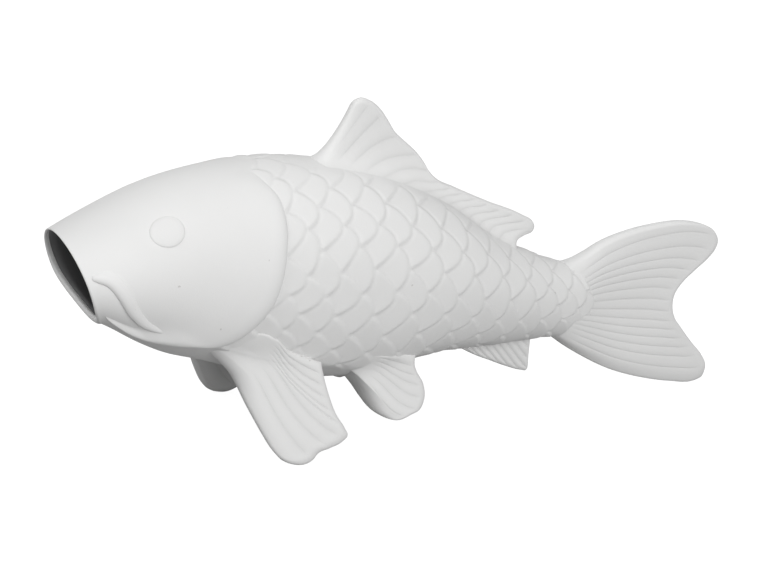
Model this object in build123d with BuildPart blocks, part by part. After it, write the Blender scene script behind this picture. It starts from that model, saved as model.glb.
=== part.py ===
from build123d import *
import os
from math import cos, radians, sin

# A hollow bisque fish ornament that stands on its two breast fins and the lower lobe of its tail.
# X runs from the nose (-X) to the tail (+X), the fish's left side is at -Y, and the floor is at Z = 0.

# Whole fish
overall_length = 403.0
stance_height = 89.0
overrun = 12.0
seat_gap = 0.1

# Cast body
body_length_share = 0.78164
body_length = overall_length * body_length_share
body_crown = 56.0
body_keel = 50.0
body_half_width = 44.0
wall = 4.0
mouth_tilt = 22.0
lip_radius = 2.1
lining_skin = 0.6

# Each row is one cross-section: along the body, level of the widest line, crown above it, keel below it,
# half width and lean, as shares of the sizes above.
station_shares = [
    (0.000, 1.000, 0.445, 0.468, 0.700, 1.00),
    (0.050, 1.020, 0.56, 0.62, 0.820, 0.64),
    (0.125, 1.020, 0.77, 0.81, 0.910, 0.32),
    (0.220, 1.015, 0.93, 0.95, 0.980, 0.09),
    (0.340, 1.000, 1.00, 1.12, 1.000, 0.00),
    (0.490, 0.965, 0.93, 1.18, 0.965, 0.00),
    (0.635, 0.890, 0.73, 0.91, 0.830, 0.00),
    (0.760, 0.785, 0.46, 0.66, 0.615, 0.00),
    (0.875, 0.675, 0.37, 0.45, 0.375, 0.00),
    (0.960, 0.620, 0.325, 0.37, 0.205, 0.00),
    (1.000, 0.600, 0.27, 0.31, 0.115, 0.00),
]
hollow_stations = 9
cover_stations = 6

# Gill covers, as places along the body and shares of the crown (up) or the keel (down)
cover_lift = 2.5
cover_rear_shares = [(0.257, 0.97), (0.290, 0.84), (0.298, 0.48), (0.284, 0.05), (0.260, -0.31), (0.228, -0.59)]
cover_jaw_shares = [(0.228, -0.59), (0.198, -0.63), (0.162, -0.61), (0.125, -0.55), (0.075, -0.44)]
cover_front_shares = [(0.075, -0.44), (0.110, -0.12), (0.152, 0.26), (0.196, 0.68), (0.257, 0.97)]

# Eyes
eye_radius = 8.8
eye_rise = 2.2
eye_depth = 9.0
eye_round = 1.8
eye_along_share = 0.128
eye_level_share = 0.58

# Barbels: places along the body and on the crown or keel, with the thickness there
barbel_radius = 3.4
barbel_shares = [
    (0.026, 0.13, 0.85),
    (0.038, 0.08, 1.00),
    (0.050, -0.06, 0.95),
    (0.068, -0.20, 0.80),
    (0.094, -0.30, 0.62),
    (0.122, -0.38, 0.36),
]

# Dorsal fin: outline from its front foot, as shares of its length, its rise and its drop
dorsal_start_share = 0.419
dorsal_length_share = 0.4413
dorsal_drop_share = 0.5618
dorsal_start = body_length * dorsal_start_share
dorsal_length = body_length * dorsal_length_share
dorsal_level = stance_height + body_crown
dorsal_rise = 30.0
dorsal_drop = stance_height * dorsal_drop_share
dorsal_thickness = 8.0
dorsal_round_share = 0.052
dorsal_round = dorsal_drop * dorsal_round_share
dorsal_crest_shares = [
    (0.00, -0.04),
    (0.07, 0.30),
    (0.13, 0.85),
    (0.175, 1.00),
    (0.26, 0.74),
    (0.36, 0.27),
]
dorsal_sail_shares = [(0.36, 0.27), (0.43, -0.02), (0.51, -0.25), (0.58, -0.36), (0.78, -0.56), (0.94, -0.74)]
dorsal_heel_shares = [(0.94, -0.74), (1.00, -0.90), (0.965, -1.00), (0.93, -1.06)]
dorsal_sole_shares = [(0.93, -1.06), (0.80, -1.20), (0.20, -0.50), (0.00, -0.04)]

# Tail fin: outline as shares of its length from the root and of its height over the floor
tail_root_share = 0.9111
tail_root = body_length * tail_root_share
tail_height = 100.0
tail_root_thickness = 15.0
tail_edge_thickness = 5.0
tail_upper_shares = [(0.00, 0.78), (0.11, 0.83), (0.30, 0.935), (0.50, 0.99), (0.70, 1.00), (0.86, 0.97)]
tail_tip_shares = [(0.86, 0.97), (0.925, 0.88), (0.89, 0.76)]
tail_fork_shares = [(0.89, 0.76), (0.76, 0.60), (0.725, 0.50), (0.77, 0.39), (0.90, 0.22)]
tail_toe_shares = [(0.90, 0.22), (1.00, 0.085), (0.95, -0.01)]
tail_lower_shares = [(0.95, -0.01), (0.80, 0.005), (0.60, 0.055), (0.40, 0.125), (0.20, 0.22), (0.00, 0.34)]

# Anal fin: outline as shares of its length and of its drop below its root level
anal_start_share = 0.7111
anal_length_share = 0.1778
anal_level_share = 0.4607
anal_start = body_length * anal_start_share
anal_length = body_length * anal_length_share
anal_level = stance_height * anal_level_share
anal_drop = 24.0
anal_thickness = 7.0
anal_round = 2.0
anal_shares = [(0.00, 0.12), (0.25, 0.40), (0.55, 0.72), (0.85, 0.97), (0.96, 1.00), (1.00, 0.88), (0.97, 0.10)]
anal_root_share = -0.45

# Breast fins: each blade leans outwards from its foot; outline as shares of its chord and its height
breast_start_share = 0.2476
breast_chord_share = 0.2222
breast_root_drop = 27.0
breast_start = body_length * breast_start_share
breast_chord = body_length * breast_chord_share
breast_height = stance_height - breast_root_drop
breast_foot_half_span = 47.0
breast_tilt = 15.0
breast_thickness = 10.0
breast_round_share = 0.0516
breast_round = breast_height * breast_round_share
breast_lead_shares = [(0.00, 1.00), (0.114, 0.70), (0.203, 0.47), (0.307, 0.24), (0.393, 0.06)]
breast_foot_shares = [(0.393, 0.06), (0.479, -0.02), (0.664, -0.005), (0.766, 0.065), (0.879, 0.085)]
breast_trail_shares = [(0.879, 0.085), (0.99, 0.15), (0.965, 0.27), (0.88, 0.42), (0.82, 0.60), (0.85, 0.90)]
breast_root_shares = [(0.85, 0.90), (0.45, 1.05), (0.00, 1.00)]

# Belly fins: the same make, shorter, with their feet clear of the floor
belly_start_share = 0.4825
belly_chord_share = 0.1476
belly_root_drop = 40.5
belly_clearance = 11.5
belly_start = body_length * belly_start_share
belly_chord = body_length * belly_chord_share
belly_height = stance_height - belly_root_drop - belly_clearance
belly_foot_half_span = 30.0
belly_tilt = 5.0
belly_thickness = 9.0
belly_round_share = 0.0667
belly_round = belly_height * belly_round_share
belly_lead_shares = [(0.00, 0.95), (0.17, 0.73), (0.32, 0.455), (0.44, 0.22), (0.56, 0.02)]
belly_foot_shares = [(0.56, 0.02), (0.67, 0.00), (0.80, 0.05), (0.91, 0.105)]
belly_trail_shares = [(0.91, 0.105), (0.97, 0.29), (0.94, 0.473), (0.85, 0.635), (0.83, 0.90)]
belly_root_shares = [(0.83, 0.90), (0.45, 1.10), (0.00, 0.95)]

os.makedirs("parts", exist_ok=True)

nose_x = -overall_length / 2
lip_reach = (station_shares[0][2] * body_crown - wall / 2) * sin(radians(mouth_tilt)) + lip_radius
mouth_x = nose_x + lip_reach


def section_plane(row):
    """The plane of one cross-section, which leans with the mouth and faces the tail."""
    along, level, crown, keel, breadth, lean = row
    tilt = radians(lean * mouth_tilt)
    return Plane(
        origin=(mouth_x + along * body_length, 0, level * stance_height),
        x_dir=(0, 1, 0),
        z_dir=(cos(tilt), 0, sin(tilt)),
    )


def section(row, inset=0.0, shift=0.0):
    """One upright oval of the body: two half ellipses that meet at the widest line."""
    along, level, crown, keel, breadth, lean = row
    half_width = breadth * body_half_width - inset
    with BuildSketch(section_plane(row).offset(shift)) as oval:
        with BuildLine():
            EllipticalCenterArc((0, 0), half_width, crown * body_crown - inset, 0, arc_size=180)
            EllipticalCenterArc((0, 0), half_width, keel * body_keel - inset, 180, arc_size=180)
        make_face()
    return oval.sketch


def hollow_sections(inset):
    """The ovals of the inside of the body, run out through the mouth."""
    rows = station_shares[:hollow_stations]
    return [section(rows[0], inset, -overrun)] + [section(row, inset) for row in rows]


def beside(along, rise):
    """A side-view point given along the body and up the crown or down the keel."""
    reach = body_crown if rise > 0 else body_keel
    return (mouth_x + along * body_length, stance_height + rise * reach)


def skin_point(along, rise):
    """The point of the left flank, and the normal there, behind a side-view point."""
    x, z = beside(along, rise)
    sight = Axis((x, -body_half_width - overrun, z), (0, 1, 0))
    hits = body_core.part.find_intersection_points(sight)
    return min(hits, key=lambda hit: hit[0].Y)


def outline(plane, stretches):
    """A closed face from stretches of side-view points, each a smooth curve to the next."""
    with BuildSketch(plane) as face:
        with BuildLine():
            for points in stretches:
                if len(points) > 2:
                    Spline(*points)
                else:
                    Line(*points)
        make_face()
    return face.sketch


def scaled(shares, x0, z0, length, height):
    """Outline points from shares of a length and a height."""
    return [(x0 + length * along, z0 + height * up) for along, up in shares]


def mirrored(left):
    """The right-hand copy of a left-hand piece."""
    with BuildPart() as right:
        mirror(left, about=Plane.XZ)
    return right.part


def save(piece, name):
    """Label a finished piece and write it."""
    piece.label = name
    export_step(piece, f"parts/{name}.step")


# The side view looks along +Y, so its sketches have X to the right and Z up.
side_view = Plane(origin=(0, 0, 0), x_dir=(1, 0, 0), z_dir=(0, -1, 0))

# The filled outside form that the fins and covers seat on
with BuildPart() as body_core:
    loft([section(row) for row in station_shares])

# Cast body, open at the mouth, with a rounded lip
with BuildPart() as body_shell:
    loft([section(row) for row in station_shares])
    loft(hollow_sections(wall), mode=Mode.SUBTRACT)
    lip_route = section(station_shares[0], wall / 2).wire()
    with BuildSketch(Plane(origin=lip_route @ 0, z_dir=lip_route % 0)):
        Circle(lip_radius)
    sweep(path=lip_route)
save(body_shell.part, "body_shell")

# Dark lining fused to the inside of the body
with BuildPart() as inner_lining:
    loft(hollow_sections(wall + seat_gap))
    loft(hollow_sections(wall + seat_gap + lining_skin), mode=Mode.SUBTRACT)
    split(bisect_by=section_plane(station_shares[0]).offset(lip_radius + seat_gap))
save(inner_lining.part, "inner_lining")

# Gill cover: a slip of clay laid on the cheek, with its free edge at the gill
with BuildPart() as left_gill_cover:
    loft([section(row, -cover_lift) for row in station_shares[:cover_stations]])
    cover_outline = outline(side_view, [
        [beside(*share) for share in cover_rear_shares],
        [beside(*share) for share in cover_jaw_shares],
        [beside(*share) for share in cover_front_shares],
    ])
    extrude(cover_outline, amount=body_half_width + overrun, mode=Mode.INTERSECT)
    add(body_core.part, mode=Mode.SUBTRACT)
save(left_gill_cover.part, "left_gill_cover")
save(mirrored(left_gill_cover.part), "right_gill_cover")

# Eye: a low round button pressed onto the head
eye_point, eye_normal = skin_point(eye_along_share, eye_level_share)
with BuildPart() as left_eye:
    with BuildSketch(Plane(origin=eye_point - eye_normal * eye_depth, z_dir=eye_normal)):
        Circle(eye_radius)
    extrude(amount=eye_depth + eye_rise)
    fillet(left_eye.faces().sort_by(Axis(eye_point, eye_normal))[-1].edges(), eye_round)
    add(body_core.part, mode=Mode.SUBTRACT)
save(left_eye.part, "left_eye")
save(mirrored(left_eye.part), "right_eye")

# Barbel: a tapered roll of clay that curls back from the corner of the mouth
barbel_points = [skin_point(along, rise)[0] for along, rise, thickness in barbel_shares]
with BuildLine() as barbel_route:
    Spline(*barbel_points)
with BuildPart() as left_barbel:
    rings = []
    for place, (along, rise, thickness) in zip(barbel_points, barbel_shares):
        heading = barbel_route.edges()[0].tangent_at(place)
        with BuildSketch(Plane(origin=place, z_dir=heading), mode=Mode.PRIVATE) as ring:
            Circle(barbel_radius * thickness)
        rings.append(ring.sketch)
    loft(rings)
    add(body_core.part, mode=Mode.SUBTRACT)
    add(left_gill_cover.part, mode=Mode.SUBTRACT)
save(left_barbel.part, "left_barbel")
save(mirrored(left_barbel.part), "right_barbel")

# Dorsal fin, seated along the ridge of the back
dorsal_x = nose_x + dorsal_start


def dorsal_points(shares):
    """Side-view points of the dorsal fin, with its rise above and its drop below its front foot."""
    return [
        (dorsal_x + dorsal_length * along, dorsal_level + up * (dorsal_rise if up > 0 else dorsal_drop))
        for along, up in shares
    ]


with BuildPart() as dorsal_fin:
    dorsal_outline = outline(side_view, [
        dorsal_points(dorsal_crest_shares),
        dorsal_points(dorsal_sail_shares),
        dorsal_points(dorsal_heel_shares),
        *[dorsal_points(pair) for pair in zip(dorsal_sole_shares, dorsal_sole_shares[1:])],
    ])
    extrude(dorsal_outline, amount=dorsal_thickness / 2, both=True)
    fillet(dorsal_fin.faces().filter_by(Axis.Y).edges(), dorsal_round)
    add(body_core.part, mode=Mode.SUBTRACT)
save(dorsal_fin.part, "dorsal_fin")

# Tail fin, a wedge that thins towards its forked edge and stands on its lower lobe
tail_x = nose_x + tail_root
tail_length = overall_length - tail_root
with BuildPart() as tail_fin:
    tail_outline = outline(side_view, [
        scaled(shares, tail_x, 0, tail_length, tail_height)
        for shares in (
            tail_upper_shares,
            tail_tip_shares,
            tail_fork_shares,
            tail_toe_shares,
            tail_lower_shares,
            [tail_lower_shares[-1], tail_upper_shares[0]],
        )
    ])
    extrude(tail_outline, amount=tail_root_thickness / 2, both=True)
    with BuildSketch(Plane.XY):
        with BuildLine():
            Polyline(
                (tail_x, -tail_root_thickness / 2),
                (tail_x + tail_length + overrun, -tail_edge_thickness / 2),
                (tail_x + tail_length + overrun, tail_edge_thickness / 2),
                (tail_x, tail_root_thickness / 2),
                close=True,
            )
        make_face()
    extrude(amount=tail_height + overrun, mode=Mode.INTERSECT)
    add(body_core.part, mode=Mode.SUBTRACT)
save(tail_fin.part, "tail_fin")

# Anal fin, under the tail stem
anal_x = nose_x + anal_start
anal_points = [(anal_x + anal_length * along, anal_level - anal_drop * down) for along, down in anal_shares]
anal_root_z = anal_level - anal_drop * anal_root_share
with BuildPart() as anal_fin:
    anal_outline = outline(side_view, [
        anal_points[:4],
        anal_points[3:6],
        anal_points[5:],
        [anal_points[-1], (anal_points[-1][0], anal_root_z)],
        [(anal_points[-1][0], anal_root_z), (anal_points[0][0], anal_root_z)],
        [(anal_points[0][0], anal_root_z), anal_points[0]],
    ])
    extrude(anal_outline, amount=anal_thickness / 2, both=True)
    fillet(anal_fin.faces().filter_by(Axis.Y).edges(), anal_round)
    add(body_core.part, mode=Mode.SUBTRACT)
save(anal_fin.part, "anal_fin")


def blade(start, half_span, lift, lean, chord, height, stretches, thickness, edge_round):
    """A paired fin: a flat blade that leans outwards to its foot, rounded all round."""
    blade_plane = Plane(
        origin=(nose_x + start, -half_span, lift),
        x_dir=(1, 0, 0),
        z_dir=(0, -cos(radians(lean)), sin(radians(lean))),
    )
    with BuildPart() as fin:
        fin_outline = outline(blade_plane, [scaled(shares, 0, 0, chord, height) for shares in stretches])
        extrude(fin_outline, amount=thickness / 2, both=True)
        fillet(fin.faces().sort_by(Axis((0, 0, 0), blade_plane.z_dir))[0].edges(), edge_round)
        fillet(fin.faces().sort_by(Axis((0, 0, 0), blade_plane.z_dir))[-1].edges(), edge_round)
        add(body_core.part, mode=Mode.SUBTRACT)
        add(left_gill_cover.part, mode=Mode.SUBTRACT)
        split(bisect_by=Plane.XY)
    return fin.part


# Breast fins, whose feet carry the front of the fish
left_breast_fin = blade(
    breast_start, breast_foot_half_span, 0, breast_tilt, breast_chord, breast_height,
    [breast_lead_shares, breast_foot_shares, breast_trail_shares, breast_root_shares],
    breast_thickness, breast_round,
)
save(left_breast_fin, "left_pectoral_fin")
save(mirrored(left_breast_fin), "right_pectoral_fin")

# Belly fins, clear of the floor
left_belly_fin = blade(
    belly_start, belly_foot_half_span, belly_clearance, belly_tilt, belly_chord, belly_height,
    [belly_lead_shares, belly_foot_shares, belly_trail_shares, belly_root_shares],
    belly_thickness, belly_round,
)
save(left_belly_fin, "left_pelvic_fin")
save(mirrored(left_belly_fin), "right_pelvic_fin")
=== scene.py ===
"""A hollow white bisque carp ornament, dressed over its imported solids.

All shapes are numpy surfaces in millimetres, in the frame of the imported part: the nose is at -X, the
fish's left side at -Y and the floor at Z = 0. They are scaled to metres when a mesh is made.

Places along the body run from 0 at the mouth to 1 at the end of the tail stem. Angles round it turn from
the left flank at 0 up to the ridge at a quarter turn.
"""

import logging
from dataclasses import dataclass
from enum import Enum

import bmesh
import bpy
import numpy as np
from mathutils import Matrix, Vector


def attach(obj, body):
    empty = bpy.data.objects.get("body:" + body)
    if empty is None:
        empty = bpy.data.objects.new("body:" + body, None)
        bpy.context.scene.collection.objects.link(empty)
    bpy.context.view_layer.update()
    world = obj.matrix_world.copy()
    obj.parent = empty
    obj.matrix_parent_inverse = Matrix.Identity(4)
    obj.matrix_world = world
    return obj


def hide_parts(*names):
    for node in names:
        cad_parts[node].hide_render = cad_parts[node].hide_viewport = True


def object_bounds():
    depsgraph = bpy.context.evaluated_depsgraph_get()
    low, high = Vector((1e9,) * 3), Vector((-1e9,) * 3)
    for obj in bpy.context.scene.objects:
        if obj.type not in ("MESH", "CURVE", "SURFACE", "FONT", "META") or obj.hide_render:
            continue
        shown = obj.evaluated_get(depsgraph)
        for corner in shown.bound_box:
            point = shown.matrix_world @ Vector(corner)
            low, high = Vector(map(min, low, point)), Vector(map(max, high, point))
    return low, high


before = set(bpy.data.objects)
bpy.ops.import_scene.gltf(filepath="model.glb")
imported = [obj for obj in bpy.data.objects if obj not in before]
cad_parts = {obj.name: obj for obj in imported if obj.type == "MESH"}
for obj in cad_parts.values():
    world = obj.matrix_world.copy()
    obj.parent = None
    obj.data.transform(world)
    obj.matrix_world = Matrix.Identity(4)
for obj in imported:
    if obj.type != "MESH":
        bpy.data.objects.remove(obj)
CAD_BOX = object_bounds()

MM = 0.001
ROOT = "root"
WELD_GAP_M = 2e-6
SLIVER_EDGE_M = 1e-7
SLOPE_STEP = 1e-3
TINY = 1e-9
QUARTER_TURN = np.pi / 2
WHITE = (1, 1, 1, 1)
log = logging.getLogger("fish")

Array = np.ndarray
Shares = tuple[tuple[float, ...], ...]
Points = list[tuple[float, float]]
Triple = tuple[float, float, float]


class Side(Enum):
    """Which flank a paired piece sits on; the value is its sign along Y."""

    LEFT = -1
    RIGHT = 1

    @property
    def word(self) -> str:
        """The side's name in lower case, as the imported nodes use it."""
        return self.name.lower()


class Slot(Enum):
    """The record's material slots."""

    BISQUE = "bisque"
    DARK_GLAZE = "dark_glaze"


def hermite(knots: Array, values: Array, t: Array) -> Array:
    """Smooth curve through values at knots: a cubic on each span with central-difference slopes.

    Args:
        knots: Increasing parameters, one per value row.
        values: One row per knot.
        t: Parameters to evaluate, any shape.

    Returns:
        Array of shape t.shape + (columns,).
    """
    values = np.asarray(values, float)
    slopes = np.gradient(values, knots, axis=0, edge_order=2 if len(knots) > 2 else 1)
    i = np.clip(np.searchsorted(knots, t) - 1, 0, len(knots) - 2)
    span = (knots[i + 1] - knots[i])[..., None]
    s = ((t - knots[i])[..., None]) / span
    rise = s * s * (3 - 2 * s)
    start, end = s * (1 - s) ** 2, s * s * (s - 1)
    return values[i] * (1 - rise) + values[i + 1] * rise + span * (slopes[i] * start + slopes[i + 1] * end)


def curve(points: Points, t: Array) -> Array:
    """Smooth curve through given points, run at an even pace by chord length.

    Args:
        points: The points in order.
        t: Parameters from 0 at the first point to 1 at the last.

    Returns:
        Array of shape t.shape + (2,).
    """
    p = np.asarray(points, float)
    chord = np.linalg.norm(np.diff(p, axis=0), axis=1)
    knots = np.concatenate([[0.0], np.cumsum(chord)]) / chord.sum()
    return hermite(knots, p, t)


def look_up(shares: Shares, place: Array, column: int = 1) -> Array:
    """Straight-line reading of a table: the value in a column at places along its first column."""
    table = np.asarray(shares)
    return np.interp(place, table[:, 0], table[:, column])


def smooth(x: Array, low: float | Array, high: float | Array) -> Array:
    """Cubic step from 0 at low to 1 at high."""
    s = np.clip((x - low) / (high - low), 0, 1)
    return s * s * (3 - 2 * s)


def round_off(x: Array, width: float) -> Array:
    """Quarter-ellipse edge: 0 at x = 0, rising to 1 at x = width and staying there."""
    return np.sqrt(np.maximum(1 - np.clip(1 - x / width, 0, 1) ** 2, 0))


def unit(v: Array) -> Array:
    """Vectors scaled to length one along their last axis."""
    return v / np.maximum(np.linalg.norm(v, axis=-1, keepdims=True), TINY)


def once_round(columns: int) -> Array:
    """Angles once round the body, as one row that starts at the keel and climbs the left flank."""
    return np.linspace(-QUARTER_TURN, 3 * QUARTER_TURN, columns, endpoint=False)[None, :]


def pole(ring: Array) -> Array:
    """A ring drawn together at its own middle, to close a grid."""
    return np.broadcast_to(ring.mean(1, keepdims=True), ring.shape)


def grid_faces(rows: int, columns: int) -> Array:
    """Quads of a grid of vertices stored row by row, with the last column joined to the first.

    Args:
        rows: Number of rows.
        columns: Number of vertices in a row.

    Returns:
        Vertex numbers of shape (faces, 4).
    """
    i, j = np.meshgrid(np.arange(rows - 1), np.arange(columns), indexing="ij")
    here, beside = i * columns + j, i * columns + (j + 1) % columns
    return np.stack([here, here + columns, beside + columns, beside], -1).reshape(-1, 4)


def signed_volume(points: Array, quads: Array) -> float:
    """Six times the volume inside a closed quad mesh, negative where its faces point inwards."""
    a, b, c, d = (points[quads[:, n]] for n in range(4))
    return float((np.cross(a, b) * c).sum() + (np.cross(a, c) * d).sum())


def make_piece(name: str, points: Array, material: bpy.types.Material, nodes: list[str],
               painted_shade: Array | None = None) -> bpy.types.Object:
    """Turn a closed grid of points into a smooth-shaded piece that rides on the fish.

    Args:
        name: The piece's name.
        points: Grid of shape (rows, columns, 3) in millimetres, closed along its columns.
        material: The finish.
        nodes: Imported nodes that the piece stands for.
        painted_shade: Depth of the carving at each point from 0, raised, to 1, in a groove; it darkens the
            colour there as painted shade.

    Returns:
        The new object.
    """
    rows, columns = points.shape[:2]
    flat = points.reshape(-1, 3)
    quads = grid_faces(rows, columns)
    if signed_volume(flat, quads) < 0:
        quads = quads[:, ::-1]
    mesh = bpy.data.meshes.new(name)
    mesh.from_pydata((flat * MM).tolist(), [], quads.tolist())
    # The groove attribute is painted shade: the finishes darken the colour with it where the carving is deep,
    # standing in for the shade that falls there.
    groove = mesh.attributes.new("groove", "FLOAT", "POINT")
    depth = np.zeros(len(flat)) if painted_shade is None else painted_shade.reshape(-1)
    groove.data.foreach_set("value", depth.astype(np.float32))
    weld = bmesh.new()
    weld.from_mesh(mesh)
    bmesh.ops.remove_doubles(weld, verts=weld.verts, dist=WELD_GAP_M)
    bmesh.ops.dissolve_degenerate(weld, edges=weld.edges, dist=SLIVER_EDGE_M)
    weld.to_mesh(mesh)
    weld.free()
    mesh.polygons.foreach_set("use_smooth", np.ones(len(mesh.polygons), bool))
    mesh.materials.append(material)
    piece = bpy.data.objects.new(name, mesh)
    bpy.context.scene.collection.objects.link(piece)
    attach(piece, ROOT)
    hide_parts(*nodes)
    log.info("%s: %d faces, stands for %s", name, len(mesh.polygons), ", ".join(nodes))
    return piece


@dataclass
class BodyForm:
    """The outside form of the cast body: leaning ovals in order along the fish.

    Each oval is two half ellipses that meet at its level. Under the throat and the belly the lower one is
    flattened to a shallow bow between two corners.

    Attributes:
        nose_x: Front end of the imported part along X.
        length: From the middle of the mouth to the end of the tail stem.
        stance: Height of the mouth's middle over the floor.
        crown: Height of the fullest oval over its level.
        keel: Depth that the ovals' depths are shares of.
        half_width: Half width of the fullest oval.
        wall: Thickness of the casting behind the lip.
        lip_share: Place along the body where the lip has grown to the full wall.
        upper_lip_wall: Thickness of the lip at its top.
        lower_lip_wall: Thickness of the lip at its bottom.
        lip_radius: How far the rounded upper lip stands ahead of the mouth's plane.
        mouth_tilt: Lean of the mouth in degrees.
        lower_lip_lean: Lean of the lower lip, as a multiple of the upper lip's.
        station_shares: Place along the body, then level, crown, keel, half width and lean there.
        keel_round: Rounding of the flat underside at the keel, as a share of the half width.
        flat_shares: Place along the body, then flatness and corner, counted in quarter turns below the flank.
    """

    nose_x: float
    length: float = 315.0
    stance: float = 89.0
    crown: float = 56.0
    keel: float = 50.0
    half_width: float = 44.0
    wall: float = 4.0
    lip_share: float = 0.08
    upper_lip_wall: float = 0.8
    lower_lip_wall: float = 4.0
    lip_radius: float = 2.1
    mouth_tilt: float = 22.0
    lower_lip_lean: float = 1.34
    station_shares: Shares = (
        (0.000, 1.000, 0.445, 0.495, 0.700, 1.00),
        (0.050, 1.020, 0.56, 0.68, 0.820, 0.64),
        (0.125, 1.020, 0.77, 0.86, 0.910, 0.32),
        (0.220, 1.015, 0.93, 0.99, 0.980, 0.09),
        (0.340, 1.000, 1.00, 1.18, 1.000, 0.00),
        (0.490, 0.965, 0.93, 1.18, 0.965, 0.00),
        (0.635, 0.890, 0.73, 0.865, 0.830, 0.00),
        (0.760, 0.785, 0.46, 0.66, 0.615, 0.00),
        (0.875, 0.675, 0.37, 0.45, 0.375, 0.00),
        (0.960, 0.620, 0.325, 0.37, 0.205, 0.00),
        (1.000, 0.600, 0.27, 0.31, 0.115, 0.00),
    )
    keel_round: float = 0.2
    flat_shares: Shares = (
        (0.000, 0.00, 0.490),
        (0.030, 0.50, 0.495),
        (0.060, 0.85, 0.505),
        (0.120, 0.90, 0.475),
        (0.160, 0.90, 0.445),
        (0.200, 0.90, 0.425),
        (0.260, 0.85, 0.440),
        (0.360, 0.80, 0.460),
        (0.430, 0.70, 0.500),
        (0.540, 0.00, 0.620),
        (0.700, 0.00, 0.800),
        (1.000, 0.00, 0.800),
    )

    @property
    def mouth_x(self) -> float:
        """Where the middle of the mouth lies along X, behind the rounded upper lip."""
        reach = self.station_shares[0][2] * self.crown - self.wall / 2
        return self.nose_x + reach * np.sin(np.radians(self.mouth_tilt)) + self.lip_radius

    def oval(self, t: Array) -> tuple[Array, ...]:
        """Sizes of the oval at each place along the body.

        Args:
            t: Places along the body.

        Returns:
            X of the middle, level, crown, keel, half width and lean in radians.
        """
        table = np.asarray(self.station_shares)
        row = hermite(table[:, 0], table[:, 1:], t)
        sizes = row * [self.stance, self.crown, self.keel, self.half_width, np.radians(self.mouth_tilt)]
        return (self.mouth_x + t * self.length, *np.moveaxis(sizes, -1, 0))

    def underside(self, t: Array) -> tuple[Array, Array]:
        """Flatness of the underside along the body, from 0 to 1, and the angle of its corner."""
        flat, corner = (look_up(self.flat_shares, t, column) for column in (1, 2))
        return flat, corner * QUARTER_TURN

    def bow(self, c: Array) -> Array:
        """A hyperbola, level at the keel and straight further out."""
        return np.sqrt(c**2 + self.keel_round**2) - self.keel_round

    def point(self, t: Array, angle: Array, inset: float | Array = 0.0) -> Array:
        """A point of the form, from the cosine and sine of its angle.

        The half width goes with the cosine. The height goes with the sine, times the crown above the level
        and the keel below it. Past the corner of the flat underside that depth moves towards a bow through
        both corners. The oval leans about its level, and its lower half leans more towards the keel.

        Args:
            t: Places along the body.
            angle: Angles round the body in radians.
            inset: How far inside the outer form the oval lies.

        Returns:
            Points in millimetres.
        """
        x, level, crown, keel, width, lean = self.oval(t)
        c, s = np.cos(angle), np.sin(angle)
        lean = lean * (1 + (self.lower_lip_lean - 1) * smooth(-s, 0.0, 1.0))
        flat, corner = self.underside(t)
        chord = 1 - (1 - np.sin(corner)) * self.bow(c) / self.bow(np.cos(corner))
        deep = np.where(-s > np.sin(corner), -s + flat * (chord + s), -s)
        up = np.where(s >= 0, (crown - inset) * s, (inset - keel) * deep)
        place = x - up * np.sin(lean), -(width - inset) * c, level + up * np.cos(lean)
        return np.stack(np.broadcast_arrays(*place), -1)

    def lip_wall(self, angle: Array) -> Array:
        """Thickness of the lip round the mouth, thin above and fuller below."""
        upper = 0.5 + 0.5 * np.sin(angle)
        return self.lower_lip_wall + (self.upper_lip_wall - self.lower_lip_wall) * upper

    def inset(self, t: Array, angle: Array) -> Array:
        """Thickness of the wall along the body, thinned towards the lip."""
        lip = self.lip_wall(angle)
        return lip + (self.wall - lip) * smooth(t, 0.0, self.lip_share)

    def slopes(self, t: Array, angle: Array) -> tuple[Array, Array]:
        """Central differences of the form, along it and round it."""
        along = self.point(t + SLOPE_STEP, angle) - self.point(t - SLOPE_STEP, angle)
        return along, self.point(t, angle + SLOPE_STEP) - self.point(t, angle - SLOPE_STEP)

    def normal(self, t: Array, angle: Array) -> Array:
        """Outward unit normal of the form, square to both of its slopes."""
        return unit(np.cross(*self.slopes(t, angle)))

    def flank(self, x: Array, z: Array) -> Array:
        """Half width of the form: that of the oval, or of the flat underside below its corner.

        Args:
            x: Places along X.
            z: Heights over the floor.

        Returns:
            Half widths in millimetres, 0 above the ridge and below the keel.
        """
        t = np.clip((x - self.mouth_x) / self.length, 0, 1)
        _, level, crown, keel, width, _ = self.oval(t)
        share = np.where(z > level, (z - level) / crown, (level - z) / keel)
        oval = np.sqrt(np.maximum(1 - share**2, 0))
        flat, corner = self.underside(t)
        run = np.maximum(1 - share, 0) / (1 - np.sin(corner)) * self.bow(np.cos(corner)) + self.keel_round
        chord = np.sqrt(run**2 - self.keel_round**2)
        below = (z < level) & (share > np.sin(corner))
        return width * np.where(below, oval + flat * (chord - oval), oval)

    def ridge(self, x: Array) -> Array:
        """Height of the form's ridge at a place along X."""
        _, level, crown, *_ = self.oval(np.clip((x - self.mouth_x) / self.length, 0, 1))
        return level + crown

    def raised(self, t: Array, angle: Array, lift: Array) -> Array:
        """Points lifted off the form along its normal."""
        return self.point(t, angle) + self.normal(t, angle) * np.asarray(lift)[..., None]


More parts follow.
